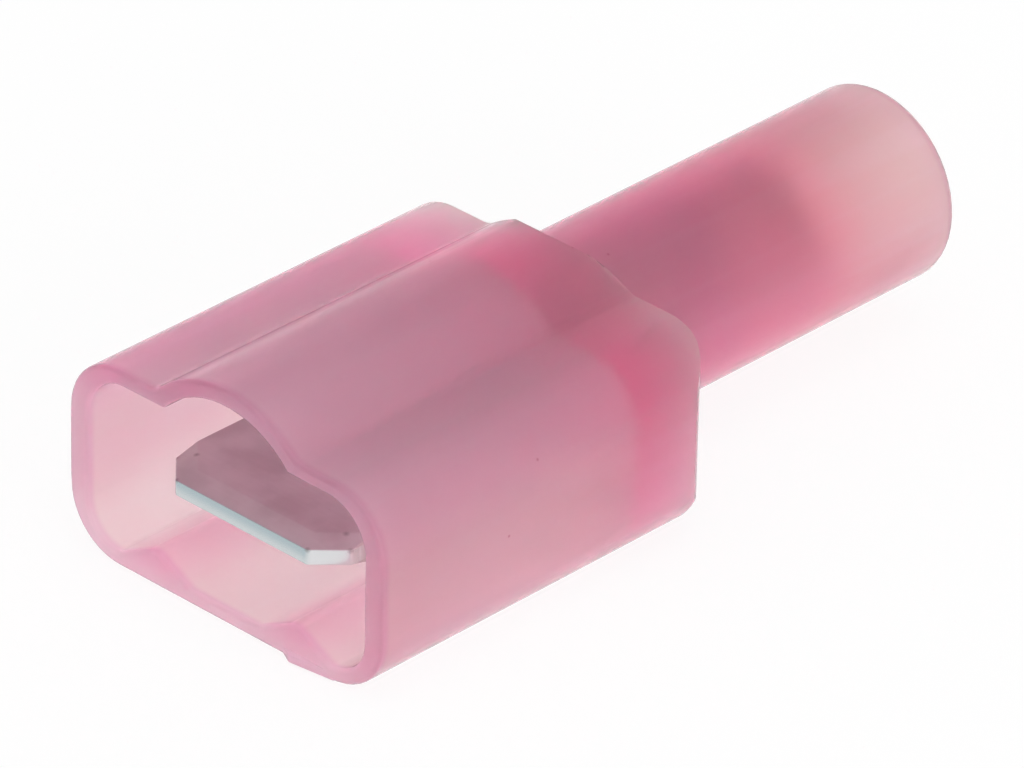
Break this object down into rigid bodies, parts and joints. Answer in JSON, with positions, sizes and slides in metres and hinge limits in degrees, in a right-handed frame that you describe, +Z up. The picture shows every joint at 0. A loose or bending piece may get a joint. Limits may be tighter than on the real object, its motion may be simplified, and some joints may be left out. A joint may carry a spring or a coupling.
{
  "type": "male spade terminal",
  "caption": "Fully insulated male tab terminal: translucent pink nylon shroud and crimp sleeve over a tinned flat tab with a rolled crimp barrel for a thin wire.",
  "frame": {"origin": "centre of the bounding box, on the plane of the flat underside", "axes": "+X across the tab, +Y along the part from the mouth to the wire end, +Z up from the underside"},
  "size_m": [0.0112, 0.0244, 0.0068],
  "materials": {
    "nylon": "satin translucent pink nylon",
    "tinned_brass": "tin plate with fine rolling marks"
  },
  "bodies": {
    "root": {"housing": "nylon", "terminal": "tinned_brass"}
  },
  "joints": []
}
